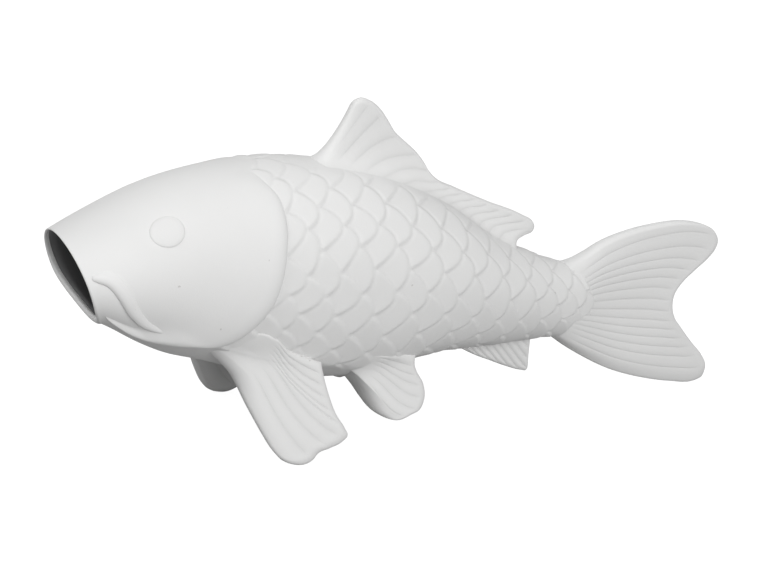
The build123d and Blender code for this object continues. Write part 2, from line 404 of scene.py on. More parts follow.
@dataclass
class CastBody:
    """The hollow casting: inner wall, lip, outside with its carved scales and rounded stem end.

    Attributes:
        form: The outside form.
        columns: Points round each ring.
        head_rings: Rings of the smooth head.
        trunk_rings: Rings of the scaled trunk.
        head_end_share: Place along the body where the trunk's rings begin.
        lip_rings: Rings over the lip.
        inner_rings: Rings of the inner wall.
        inner_end_share: Place along the body where the hollow ends.
        cap_rings: Rings of the stem's rounded end.
        cap_length: How far that end stands out.
        row_heights: Place along the body and width of a row of scales there.
        scale_lengths: Place along the body and length of a scale there.
        wander: How far scales stray from even rows, counted in scales.
        wander_waves: For places along and round the body, how fast the straying changes along and round it.
        scale_step: Height of the carving from groove to free edge.
        mid_height: Share of that height that lies on the plain form.
        root_height: Height of a scale at its root, as a share.
        edge_drop: How far a free edge rounds down, as a share.
        edge_round: Reach of that rounding, counted in scales.
        groove_depth: Depth of the groove behind a free edge, as a share.
        groove_width: Width of that groove, counted in scales.
        tip_depth: How far the middle of a free edge reaches past its sides, counted in scales.
        tip_roundness_share: How round that edge is, from a parabola at 0 to a circle at 1.
        blur: Reach of the window over which the carving is averaged.
        gill_fade: Where the carving begins and is full, counted along the body from the gill line.
        underside_fade: The same, counted in quarter turns up from the corner of the flat underside.
        fin_seat_shares: Where the seat of the back fin begins, is full, still is full and ends.
        fin_seat_reach: Distances from the ridge between which the carving comes back beside that seat.
        gill_shares: Place from keel to ridge and place of the gill line along the body.
        end_shares: Place from keel to ridge and place of the trunk's end along the body.
    """

    form: BodyForm
    columns: int = 320
    head_rings: int = 40
    trunk_rings: int = 232
    head_end_share: float = 0.24
    lip_rings: int = 7
    inner_rings: int = 14
    inner_end_share: float = 0.875
    cap_rings: int = 8
    cap_length: float = 3.0
    row_heights: Shares = ((0.24, 9.2), (0.33, 10.4), (0.50, 12.0), (0.75, 11.4), (1.00, 10.4))
    scale_lengths: Shares = ((0.24, 18.5), (0.50, 21.5), (0.75, 18.5), (1.00, 14.5))
    wander: float = 0.10
    wander_waves: Shares = ((0.7, 2.1), (1.3, 0.9))
    scale_step: float = 1.7
    mid_height: float = 0.5
    root_height: float = 0.25
    edge_drop: float = 0.30
    edge_round: float = 0.16
    groove_depth: float = 0.30
    groove_width: float = 0.05
    tip_depth: float = 0.5
    tip_roundness_share: float = 0.4
    blur: float = 0.45
    gill_fade: tuple[float, float] = (-0.012, 0.004)
    underside_fade: tuple[float, float] = (-0.14, -0.02)
    fin_seat_shares: tuple[float, float, float, float] = (0.31, 0.37, 0.70, 0.76)
    fin_seat_reach: tuple[float, float] = (8.0, 17.0)
    gill_shares: Shares = (
        (-1.00, 0.18), (-0.40, 0.195), (-0.26, 0.240), (-0.06, 0.275), (0.17, 0.292),
        (0.36, 0.298), (0.59, 0.294), (0.71, 0.282), (0.86, 0.272), (1.00, 0.290),
    )
    end_shares: Shares = (
        (-1.00, 0.893), (-0.58, 0.900), (-0.29, 0.910), (-0.11, 0.942), (0.05, 0.950), (0.21, 0.948),
        (0.40, 0.934), (0.51, 0.931), (0.70, 0.928), (0.86, 0.921), (1.00, 0.916),
    )

    def scale_height(self, a: Array, b: Array) -> Array:
        """Overlapping scales in rows set half a scale apart.

        In each row the free edge is an arc. A scale rises evenly from its root, rounds off at that edge and
        is parted by a thin groove from the scale it covers. Of the two rows that reach a point, the scale
        whose tip is nearer the head lies on top.

        Args:
            a: Places along the body, counted in scales.
            b: Places round the body, counted in rows.

        Returns:
            Height from 0 in a groove at a root to about 1 near a free edge.
        """
        tips, reaches = [], []
        for row in (np.floor(b), np.floor(b) + 1):
            off = np.abs(b - row)
            offset = 0.5 * (row % 2)
            arc = (1 - self.tip_roundness_share) * off**2
            arc = arc + self.tip_roundness_share * (1 - np.sqrt(np.maximum(1 - off**2, 0)))
            phase = a + self.tip_depth * arc - offset
            index = np.ceil(phase)
            tips.append(index + offset)
            reaches.append(index - phase)
        to_edge = np.where(tips[0] < tips[1], reaches[0], reaches[1])
        behind = 1 - np.maximum(reaches[0], reaches[1])
        height = self.root_height + (1 - self.root_height) * (1 - to_edge)
        height = height - self.edge_drop * (1 - round_off(to_edge, self.edge_round))
        return height - self.groove_depth * np.exp(-((behind / self.groove_width) ** 2))

    @staticmethod
    def half_turn(angle: Array) -> Array:
        """Place round the oval on either flank, from -1 at the keel to 1 at the ridge."""
        return 1 - 2 * np.abs((angle / np.pi + 0.5) % 2 - 1)

    def scales(self, t: Array, angle: Array, points: Array) -> Array:
        """Carving of the trunk: scale height averaged over a small window.

        Places are counted in scales along the body and, by arc length from the flank, in rows round it. The
        carving fades out at the gill line, on the flat underside and along the seat of the back fin.

        Args:
            t: Places along the body, shape (rings, columns).
            angle: Angles round the body, shape (1, columns).
            points: The plain outside form at those places.

        Returns:
            Lift in millimetres at each point.
        """
        step = np.linalg.norm(points - np.roll(points, 1, axis=1), axis=-1)
        girth = step.sum(1, keepdims=True)
        from_keel = np.cumsum(step, axis=1) - step[:, :1]
        from_keel = np.minimum(from_keel, girth - from_keel)
        row_height, pitch = look_up(self.row_heights, t), look_up(self.scale_lengths, t)
        b = (from_keel - from_keel[:, self.columns // 4, None]) / row_height
        a = np.cumsum(np.diff(t, axis=0, prepend=t[:1]) * self.form.length / pitch, axis=0)
        stray_a, stray_b = (self.wander * np.sin(of_a * a + of_b * b) for of_a, of_b in self.wander_waves)
        a, b = a + stray_a, b + stray_b
        window_a, window_b = self.blur / pitch, self.blur / row_height
        window = [(i, j) for i in (-1, 0, 1) for j in (-1, 0, 1)]
        height = sum(self.scale_height(a + i * window_a, b + j * window_b) for i, j in window) / len(window)
        climb = self.half_turn(angle)
        gill = look_up(self.gill_shares, climb)
        corner = self.form.underside(t)[1] / QUARTER_TURN
        seat_start, seat_full, seat_last, seat_end = self.fin_seat_shares
        seat = smooth(t, seat_start, seat_full) * (1 - smooth(t, seat_last, seat_end))
        fade = smooth(t, gill + self.gill_fade[0], gill + self.gill_fade[1])
        fade = fade * smooth(climb + corner, *self.underside_fade)
        fade = fade * (1 - seat * (1 - smooth(girth / 2 - from_keel, *self.fin_seat_reach)))
        return (height - self.mid_height) * self.scale_step * fade

    def inner_wall(self, angle: Array) -> Array:
        """Rings from a pole at the end of the hollow out to the lip, crowded towards the lip.

        Args:
            angle: Angles round the body, shape (1, columns).

        Returns:
            Points of shape (rings, columns, 3).
        """
        t = self.inner_end_share * np.linspace(1.0, 0.0, self.inner_rings)[:, None] ** 2
        wall = self.form.point(t, angle, self.form.inset(t, angle))
        return np.concatenate([pole(wall[:1]), wall])

    def lip(self, angle: Array) -> Array:
        """Rings of the lip: half a circle from the inner wall round to the outer form, at every angle.

        Args:
            angle: Angles round the body, shape (1, columns).

        Returns:
            Points of shape (rings, columns, 3).
        """
        form, mouth = self.form, np.zeros((1, 1))
        half = form.lip_wall(angle) / 2
        mid = form.point(mouth, angle, half)
        out = unit(form.point(mouth, angle) - mid)
        tilt = np.radians(form.mouth_tilt)
        ahead = np.array([-np.cos(tilt), 0.0, -np.sin(tilt)])
        roll = np.linspace(np.pi, 0, self.lip_rings + 2)[1:-1, None, None]
        return mid + half[..., None] * (np.cos(roll) * out + np.sin(roll) * ahead)

    def outside(self, angle: Array) -> tuple[Array, Array]:
        """Rings of the outer form from the lip to the stem's end, lifted by the carving.

        Args:
            angle: Angles round the body, shape (1, columns).

        Returns:
            Points of shape (rings, columns, 3) and the lift at each.
        """
        stem_end = look_up(self.end_shares, self.half_turn(angle))
        head_t = np.linspace(0.0, self.head_end_share, self.head_rings, endpoint=False)[:, None] + 0 * angle
        trunk_s = np.linspace(0.0, 1.0, self.trunk_rings)[:, None]
        t = np.concatenate([head_t, self.head_end_share + (stem_end - self.head_end_share) * trunk_s])
        lift = self.scales(t, angle, self.form.point(t, angle))
        return self.form.raised(t, angle + 0 * t, lift), lift

    def cap(self, end: Array) -> Array:
        """Rings that close the stem: its last ring drawn together in a quarter ellipse.

        Args:
            end: The last ring, shape (1, columns, 3).

        Returns:
            Points of shape (rings, columns, 3).
        """
        turn = np.linspace(0, QUARTER_TURN, self.cap_rings + 1)[1:, None, None]
        centre = end.mean(1, keepdims=True)
        return centre + (end - centre) * np.cos(turn) + np.array([self.cap_length, 0, 0]) * np.sin(turn)

    def build(self, finish: bpy.types.Material) -> None:
        """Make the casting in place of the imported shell, in rings from its hollow's end to its stem's end.

        Args:
            finish: The clay finish.
        """
        angle = once_round(self.columns)
        outer, lift = self.outside(angle)
        parts = [self.inner_wall(angle), self.lip(angle), outer, self.cap(outer[-1:])]
        # Painted shade mask: the depth of the scale carving, which darkens the colour in the hollows between
        # scales.
        carved = np.clip(-2 * lift / self.scale_step, 0, 1)
        depth = [carved if part is outer else np.zeros(part.shape[:2]) for part in parts]
        make_piece("cast_body", np.concatenate(parts), finish, ["body_shell"],
                   np.concatenate(depth))


@dataclass
class Lining:
    """The dark skin on the inside: two walls joined at the mouth and closed at the rear.

    Attributes:
        form: The outside form.
        skin: Thickness of the skin.
        gap: Gap between the skin and the casting.
        columns: Points round each ring.
        ring_count: Rings of each wall.
        end_share: Place along the body where the skin ends.
        upper_start_share: Where it begins under the upper lip.
        lower_start_share: Where it begins over the lower lip.
    """

    form: BodyForm
    skin: float = 0.6
    gap: float = 0.1
    columns: int = 160
    ring_count: int = 60
    end_share: float = 0.87
    upper_start_share: float = 0.003
    lower_start_share: float = 0.007

    def build(self, finish: bpy.types.Material) -> None:
        """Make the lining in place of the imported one: out along its outer wall and back along its inner one.

        Args:
            finish: The dark finish.
        """
        angle = once_round(self.columns)
        drop = (0.5 - 0.5 * np.sin(angle)) * (self.lower_start_share - self.upper_start_share)
        start = self.upper_start_share + drop
        t = start + (self.end_share - start) * np.linspace(1, 0, self.ring_count)[:, None]
        outer = self.form.point(t, angle, self.form.inset(t, angle) + self.gap)
        inner = self.form.point(t[::-1], angle, self.form.inset(t[::-1], angle) + self.gap + self.skin)
        rear = pole(inner[-1:]) - np.array([self.skin, 0, 0])
        inner[-1:, :, 0] -= self.skin
        grid = np.concatenate([pole(outer[:1]), outer, inner, rear])
        make_piece("inner_lining_skin", grid, finish, ["inner_lining"])


@dataclass
class GillCover:
    """A raised cheek plate: a rounded step along the gill and the jaw that feathers out towards the eye.

    Attributes:
        form: The outside form.
        side: The flank.
        lift: Height that the step would reach without its rounding.
        sink: How deep the under sheet lies in the wall.
        feather: How far the feathered top lies under the form.
        rim_dive: How far it dives at its end.
        dive_share: Where that dive begins, from the step to the feathered end.
        step_width: Reach of the step's rounding.
        edge_width: Reach of the rounding that closes the step's foot.
        roll_width: Reach over which the step rolls off towards the eye.
        roll_power: How steep that roll is.
        feather_shares: Where the top begins to feather out and where it is flat.
        top_fade: Share of the edge, from its top, over which the step rises.
        jaw_round: Share of the edge, from the mouth, over which the step is rounded off.
        along_edge: Points along the edge.
        across: Points from the step to the feathered end.
        edge_crowding: Power that crowds those points towards the step.
        edge_shares: Route of the step: places along the body and angles in quarter turns.
        fade_shares: Route of the feathered end, point for point beside the step.
    """

    form: BodyForm
    side: Side
    lift: float = 3.9
    sink: float = 1.2
    feather: float = 0.004
    rim_dive: float = 0.5
    dive_share: float = 0.86
    step_width: float = 9.0
    edge_width: float = 0.8
    roll_width: float = 18.0
    roll_power: float = 1.3
    feather_shares: tuple[float, float] = (0.3, 0.95)
    top_fade: float = 0.30
    jaw_round: float = 0.16
    along_edge: int = 220
    across: int = 70
    edge_crowding: float = 1.6
    edge_shares: Shares = (
        (0.266, 0.87), (0.272, 0.81), (0.282, 0.71), (0.295, 0.59), (0.299, 0.47), (0.299, 0.36),
        (0.296, 0.26), (0.293, 0.17), (0.286, 0.05), (0.276, -0.06), (0.260, -0.16), (0.241, -0.26),
        (0.222, -0.34), (0.197, -0.405), (0.160, -0.425), (0.120, -0.455), (0.080, -0.49), (0.045, -0.48),
        (0.010, -0.35),
    )
    fade_shares: Shares = (
        (0.240, 0.86), (0.222, 0.83), (0.200, 0.77), (0.185, 0.68), (0.175, 0.58), (0.165, 0.48),
        (0.158, 0.38), (0.150, 0.30), (0.142, 0.22), (0.132, 0.14), (0.122, 0.06), (0.110, -0.02),
        (0.098, -0.10), (0.086, -0.17), (0.075, -0.23), (0.064, -0.29), (0.050, -0.35), (0.028, -0.32),
        (0.004, -0.24),
    )

    def build(self, finish: bpy.types.Material) -> None:
        """Make the plate: a top sheet over the cheek and an under sheet inside the wall, joined all round.

        The top rises from the step in a quarter ellipse and falls as an exponential of the distance from it.

        Args:
            finish: The clay finish.
        """
        p = np.linspace(0, 1, self.along_edge)
        order = np.linspace(0, 1, len(self.edge_shares))
        routes = (self.edge_shares, self.fade_shares)
        edge, fade = (hermite(order, np.asarray(route), p)[:, None, :] for route in routes)
        rims = [self.form.point(line[..., 0], line[..., 1] * QUARTER_TURN) for line in (edge, fade)]
        q = np.linspace(0, 1, self.across)[None, :] ** self.edge_crowding
        place = edge + (fade - edge) * q[..., None]
        t, angle = place[..., 0], place[..., 1] * QUARTER_TURN
        reach = q * np.linalg.norm(rims[1] - rims[0], axis=-1)
        rise = round_off(reach, self.step_width) * np.exp(-((reach / self.roll_width) ** self.roll_power))
        rise = rise * (1 - smooth(q, *self.feather_shares))
        ends = smooth(p, 0.0, self.top_fade) * round_off(1 - p, self.jaw_round)
        dive = self.rim_dive * np.clip((q - self.dive_share) / (1 - self.dive_share), 0, 1) ** 2
        top = self.lift * rise * ends[:, None] - self.feather - dive
        top = top - (self.sink - self.feather) * (1 - round_off(reach, self.edge_width))
        upper = self.form.raised(t, angle, top)
        lower = self.form.raised(t, angle, np.full(t.shape, -self.sink))
        grid = np.concatenate([upper, lower[:, ::-1]], axis=1)
        grid[0] = lower[:1, :1]
        grid[-1] = lower[-1:, :1]
        grid[..., 1] *= -self.side.value
        word = self.side.word
        make_piece(f"{word}_gill_plate", grid, finish, [f"{word}_gill_cover"])


@dataclass
class Eye:
    """A low round button laid on the curve of the head.

    Attributes:
        form: The outside form.
        side: The flank.
        along_share: Place along the body.
        angle_share: Angle round the body in quarter turns.
        radius: Radius along the head.
        squash: Height over length.
        dome: How far the button stands out.
        dome_power: How flat the dome is, from a full one at 1 to a disc at 0.
        sink: How deep its foot lies in the wall.
        rings: Rings of the dome.
        spokes: Points round each ring.
    """

    form: BodyForm
    side: Side
    along_share: float = 0.122
    angle_share: float = 0.49
    radius: float = 8.5
    squash: float = 0.92
    dome: float = 1.35
    dome_power: float = 0.7
    sink: float = 1.5
    rings: int = 30
    spokes: int = 96

    def build(self, finish: bpy.types.Material) -> None:
        """Make the button as a profile turned about its own normal and laid on the head.

        Args:
            finish: The clay finish.
        """
        t0, a0 = np.array(self.along_share), np.array(self.angle_share * QUARTER_TURN)
        turn = np.linspace(0, QUARTER_TURN, self.rings)
        radius = np.concatenate([self.radius * np.sin(turn), [self.radius, 0.0]])[:, None]
        height = np.concatenate([self.dome * np.cos(turn) ** self.dome_power, [-self.sink, -self.sink]])
        spin = np.linspace(0, 2 * np.pi, self.spokes, endpoint=False)
        along, round_ = (slope / (2 * SLOPE_STEP) for slope in self.form.slopes(t0, a0))
        e1 = unit(along)
        e2 = unit(round_ - e1 * (round_ @ e1))
        basis = np.linalg.inv(np.array([[along @ e1, round_ @ e1], [along @ e2, round_ @ e2]]))
        flat = np.stack([radius * np.cos(spin), self.squash * radius * np.sin(spin)], -1) @ basis.T
        grid = self.form.raised(t0 + flat[..., 0], a0 + flat[..., 1], height[:, None] + 0 * spin)
        grid[..., 1] *= -self.side.value
        word = self.side.word
        make_piece(f"{word}_eye_button", grid, finish, [f"{word}_eye"])


@dataclass
class Barbel:
    """A tapered roll of clay that curls back from the corner of the mouth and melts into the cheek.

    Attributes:
        form: The outside form.
        side: The flank.
        radius: Radius of the roll at its fullest.
        height_share: Height of the roll over its middle, as a share of its radius.
        under_share: Depth of the roll under its middle.
        bury_share: How deep that middle lies in the cheek.
        end_round: Share of the route over which each end is rounded.
        soft_side: Width of the soft upper side, as a share of the radius.
        soft_power: How gently the upper side melts away.
        crease_power: How gently the lower side does.
        route_shares: Places along the body, angles in quarter turns, size shares and lifts in millimetres.
        rings: Rings along the route.
        sides: Points round each ring.
    """

    form: BodyForm
    side: Side
    radius: float = 3.1
    height_share: float = 0.66
    under_share: float = 0.35
    bury_share: float = 0.35
    end_round: float = 0.05
    soft_side: float = 1.35
    soft_power: float = 2.2
    crease_power: float = 1.1
    route_shares: Shares = (
        (0.006, 0.26, 0.30, 0.2),
        (0.016, 0.245, 0.75, 0.6),
        (0.029, 0.19, 1.00, 0.8),
        (0.037, 0.09, 1.00, 0.9),
        (0.044, -0.04, 0.95, 1.0),
        (0.052, -0.17, 0.85, 1.0),
        (0.070, -0.29, 0.68, 0.9),
        (0.106, -0.335, 0.22, 0.5),
    )
    rings: int = 90
    sides: int = 40

    def build(self, finish: bpy.types.Material) -> None:
        """Make the roll: a bell, steep below and melting away above, carried along a route on the cheek.

        Args:
            finish: The clay finish.
        """
        s = np.linspace(0, 1, self.rings)
        route = hermite(np.linspace(0, 1, len(self.route_shares)), np.asarray(self.route_shares), s)
        t, angle = route[:, 0], route[:, 1] * QUARTER_TURN
        centre = self.form.raised(t, angle, route[:, 3] - self.bury_share * self.radius * route[:, 2])
        ahead = unit(np.gradient(centre, axis=0))
        out = self.form.normal(t, angle)
        across = unit(np.cross(ahead, out))
        out = np.cross(across, ahead)
        spin = np.linspace(0, 2 * np.pi, self.sides, endpoint=False)[None, :, None]
        size = self.radius * route[:, 2] * round_off(s, self.end_round) * round_off(1 - s, self.end_round)
        power = np.where(np.cos(spin) > 0, self.crease_power, self.soft_power)
        bell = self.height_share * np.abs(np.sin(spin)) ** power
        bulge = np.where(np.sin(spin) > 0, bell, self.under_share * np.sin(spin))
        spread = np.where(np.cos(spin) > 0, 1.0, self.soft_side) * np.cos(spin)
        grid = centre[:, None] + size[:, None, None] * (spread * across[:, None] + bulge * out[:, None])
        grid[..., 1] *= -self.side.value
        word = self.side.word
        make_piece(f"{word}_barbel_roll", grid, finish, [f"{word}_barbel"])


@dataclass
class FinOutline:
    """The four edges of a fin blade, as points in its own plane from the nose and over the floor."""

    lead: Points
    rim: Points
    trail: Points
    root: Points

    def patch(self, u: Array, v: Array) -> Array:
        """Coons patch: the blend of the four edges less the blend of their corners.

        Args:
            u: From 0 at the leading edge to 1 at the trailing edge, shape (n,).
            v: From 0 at the root to 1 at the rim, shape (m,).

        Returns:
            Points of shape (n, m, 2).
        """
        root, rim = curve(self.root, u)[:, None], curve(self.rim, u)[:, None]
        lead, trail = curve(self.lead, v)[None], curve(self.trail, v)[None]
        a, b = u[:, None, None], v[None, :, None]
        corners = (1 - a) * ((1 - b) * root[:1] + b * rim[:1]) + a * ((1 - b) * root[-1:] + b * rim[-1:])
        return (1 - b) * root + b * rim + (1 - a) * lead + a * trail - corners


@dataclass
class Fin:
    """A fin blade: a two-sided sheet that swells from its rounded edges, with carved rays.

    Places across the blade run from 0 at its leading edge to 1 at its trailing edge, and places up it from 0
    at its root to 1 at its rim. Reaches and rounds are shares of these. Rays run from the root to the rim.

    Attributes:
        name: The piece's name.
        node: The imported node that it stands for.
        outline: The blade's four edges.
        root_half: Half thickness at the root.
        rim_half: Half thickness at the rim.
        rays: Number of rays.
        side: The flank that a paired fin grows from.
        lead_extra: Half thickness added at the leading edge.
        spindle: How strongly the root's thickness falls off towards both edges.
        spindle_margin: Reach at each edge within which that fall stays the same.
        taper: How fast the root's thickness fades up the blade.
        root_share: Share of the thickness that is left at the root itself.
        root_round: Reach over which the thickness is full again.
        root_power: How steep that rise is.
        inner_lead: Half thickness added at the leading edge of the inner side.
        inner_web: Half thickness of the web that ties the inner side to the body.
        web_reach: Reach of that web up the blade.
        inner_round: Rounding of the inner leading edge, or 0 for that of the outer one.
        ray_depth: Depth of the grooves between rays.
        ray_crowding: Power that crowds the rays towards the trailing edge or, below 1, the leading edge.
        ray_shear: How far a ray slants towards the trailing edge.
        ray_curl: Power of a place up the blade that bends slanted rays.
        lead_slant: Share of the slant at the leading edge.
        slant_reach: Place across the blade from which the slant is full.
        ray_bow: How strongly the rays crowd in the middle of the rim.
        root_gather: How strongly the rays crowd in the middle of the root.
        ray_sway: How far the rays wave across the blade.
        ray_sharpness: Power of the scallops, low for thin grooves.
        ray_start: Place up the blade where the grooves begin.
        ray_end: Place up the blade where they end.
        ray_fade: Reach over which they come and go.
        ray_margins: Places across the blade where the grooves begin, are full, still are full and end.
        lead_round: Rounding of the leading edge.
        trail_round: Rounding of the trailing edge.
        rim_round: Rounding of the rim.
        tilt: Lean of the blade's plane in degrees.
        foot_y: Distance of that plane from the middle at the floor.
        hug: Rounding of the bend where the blade leaves the flank, or 0 for a blade that has no flank.
        hug_sink: How deep the middle of the blade lies in the flank.
        corner_sink: How deep the front corner of the root lies in it.
        corner_power: How quickly that fades from the corner.
        front_sink: How far the leading edge is tucked in at the root.
        front_round: Reach of the tuck across the blade.
        front_fall: Power with which the tuck fades up the blade.
        front_power: Power with which it fades across the blade.
        saddle: Half thickness added where the blade meets the ridge.
        saddle_reach: Height over which that fades.
        saddle_drop: Depth under the ridge where the fading begins.
        edge_crowding: How strongly the grid crowds towards both edges.
        nu: Points across the blade.
        nv: Points up the blade.
        floor: Whether the blade stands on the floor and is flat there.
    """

    name: str
    node: str
    outline: FinOutline
    root_half: float
    rim_half: float
    rays: int
    side: Side = Side.LEFT
    lead_extra: float = 0.0
    spindle: float = 0.0
    spindle_margin: float = 0.02
    taper: float = 1.3
    root_share: float = 1.0
    root_round: float = 0.16
    root_power: float = 1.0
    inner_lead: float = 0.0
    inner_web: float = 0.0
    web_reach: float = 0.5
    inner_round: float = 0.0
    ray_depth: float = 0.5
    ray_crowding: float = 1.0
    ray_shear: float = 0.0
    ray_curl: float = 1.0
    lead_slant: float = 1.0
    slant_reach: float = 0.5
    ray_bow: float = 0.0
    root_gather: float = 0.0
    ray_sway: float = 0.0
    ray_sharpness: float = 0.4
    ray_start: float = 0.25
    ray_end: float = 0.97
    ray_fade: float = 0.1
    ray_margins: tuple[float, float, float, float] = (0.02, 0.10, 0.93, 0.99)
    lead_round: float = 0.10
    trail_round: float = 0.06
    rim_round: float = 0.07
    tilt: float = 0.0
    foot_y: float = 0.0
    hug: float = 0.0
    hug_sink: float = 2.2
    corner_sink: float = 4.0
    corner_power: int = 3
    front_sink: float = 0.0
    front_round: float = 0.2
    front_fall: float = 0.6
    front_power: float = 1.25
    saddle: float = 0.0
    saddle_reach: float = 4.0
    saddle_drop: float = 1.8
    edge_crowding: float = 0.35
    nu: int = 180
    nv: int = 90
    floor: bool = False

    def grooves(self, a: Array, b: Array) -> Array:
        """Depth of the grooves between rays: what a scalloped wave leaves below its crests.

        The wave counts places across the blade, less the rays' slant and their crowding in the middle, plus
        their sway. It fades in above the root and out towards the rim and both edges.

        Args:
            a: Places across the blade, shape (n, 1).
            b: Places up the blade, shape (1, m).

        Returns:
            Depth from 0 to 1, shape (n, m).
        """
        slant = self.ray_shear * (self.lead_slant + (1 - self.lead_slant) * smooth(a, 0.0, self.slant_reach))
        gather = self.ray_bow * b**2 + self.root_gather * (1 - b) ** 2
        place = a - slant * b**self.ray_curl - gather * np.sin(2 * np.pi * a) / (2 * np.pi)
        place = place + self.ray_sway * np.sin(2 * np.pi * b) * np.sin(np.pi * a)
        phase = self.rays * np.sign(place) * np.abs(place) ** self.ray_crowding
        scallop = np.abs(np.sin(np.pi * phase)) ** self.ray_sharpness
        shown = smooth(b, self.ray_start - self.ray_fade, self.ray_start + self.ray_fade)
        shown = shown * (1 - smooth(b, self.ray_end - self.ray_fade, self.ray_end))
        lead_start, lead_full, trail_full, trail_end = self.ray_margins
        shown = shown * smooth(a, lead_start, lead_full) * (1 - smooth(a, trail_full, trail_end))
        return (1 - scallop) * shown

    def half_thickness(self, a: Array, b: Array, lead_round: float, extra: Array) -> Array:
        """Half thickness of the blade on one side.

        It runs from the root size to the rim size, falls to nothing in a quarter ellipse at each edge and is
        cut by the grooves.

        Args:
            a: Places across the blade, shape (n, 1).
            b: Places up the blade, shape (1, m).
            lead_round: Reach of the rounding at the leading edge.
            extra: Added half thickness, shape (n, m).

        Returns:
            Half thickness in millimetres, shape (n, m).
        """
        inside = np.clip(a, self.spindle_margin, 1 - self.spindle_margin)
        swell = (1 - b) ** self.taper * np.sin(np.pi * inside) ** self.spindle
        half = self.rim_half + (self.root_half - self.rim_half) * swell + extra
        rise = round_off(b, self.root_round) ** self.root_power
        half = half * (self.root_share + (1 - self.root_share) * rise)
        edge = round_off(a, lead_round) * round_off(1 - a, self.trail_round)
        edge = edge * round_off(1 - b, self.rim_round)
        return half * edge - self.ray_depth * self.grooves(a, b) * edge

    def middle(self, form: BodyForm, a: Array, b: Array, x: Array, z: Array) -> Array:
        """Distance of the blade's middle from the fish's own middle.

        It is that of a leaning plane, or of the flank where that stands out further, with a rounded bend
        between the two. The front corner of the root is sunk into the flank, and the leading edge tucked in.

        Args:
            form: The body that the fin grows from.
            a: Places across the blade, shape (n, 1).
            b: Places up the blade, shape (1, m).
            x: Places along X, shape (n, m).
            z: Heights over the floor, shape (n, m).

        Returns:
            Distances in millimetres, shape (n, m).
        """
        middle = self.foot_y - np.tan(np.radians(self.tilt)) * z
        if self.hug:
            flank = form.flank(x, z) - self.hug_sink
            middle = 0.5 * (middle + flank + np.sqrt((middle - flank) ** 2 + self.hug**2))
            to_corner = flank[0, 0] - self.corner_sink - middle
            middle = middle + to_corner * ((1 - a) * (1 - b)) ** self.corner_power
        tuck = (1 - b) ** self.front_fall * np.clip(1 - a / self.front_round, 0, 1) ** self.front_power
        return middle - self.front_sink * tuck

    def build(self, form: BodyForm, finish: bpy.types.Material) -> None:
        """Make the blade: an outer and an inner sheet off its middle, joined at the rim.

        A saddle that fades with the height over the ridge thickens both sheets, and a web the inner one.

        Args:
            form: The body that the fin grows from.
            finish: The clay finish.
        """
        even = np.linspace(0, 1, self.nu)
        eased = 0.5 - 0.5 * np.cos(np.pi * even)
        u = (1 - self.edge_crowding) * even + self.edge_crowding * eased
        v = np.sin(QUARTER_TURN * np.linspace(0, 1, self.nv))
        flat = self.outline.patch(u, v)
        a, b = u[:, None], v[None, :]
        x, z = form.nose_x + flat[..., 0], flat[..., 1]
        over_ridge = np.maximum(z - form.ridge(x) + self.saddle_drop, 0.0)
        saddle = self.saddle * np.exp(-over_ridge / self.saddle_reach)
        web = self.lead_extra + self.inner_lead + self.inner_web * (1 - smooth(b, 0.0, self.web_reach))
        inner_round = self.inner_round or self.lead_round
        outer = self.half_thickness(a, b, self.lead_round, self.lead_extra * (1 - a) ** 2 + saddle)
        inner = self.half_thickness(a, b, inner_round, web * (1 - a) ** 2 + saddle)
        middle = self.middle(form, a, b, x, z)
        z = np.maximum(z, 0.0) if self.floor else z
        sheets = [np.stack([x, offset - middle, z], -1) for offset in (-outer, inner)]
        grid = np.concatenate([sheets[0], sheets[1][:, ::-1]], axis=1)
        grid[..., 1] *= -self.side.value
        # Painted shade mask: the depth of the ray grooves, which darkens the colour in them.
        groove = self.grooves(a, b)
        painted_shade = np.concatenate([groove, groove[:, ::-1]], axis=1)
        make_piece(self.name, grid, finish, [self.node], painted_shade)


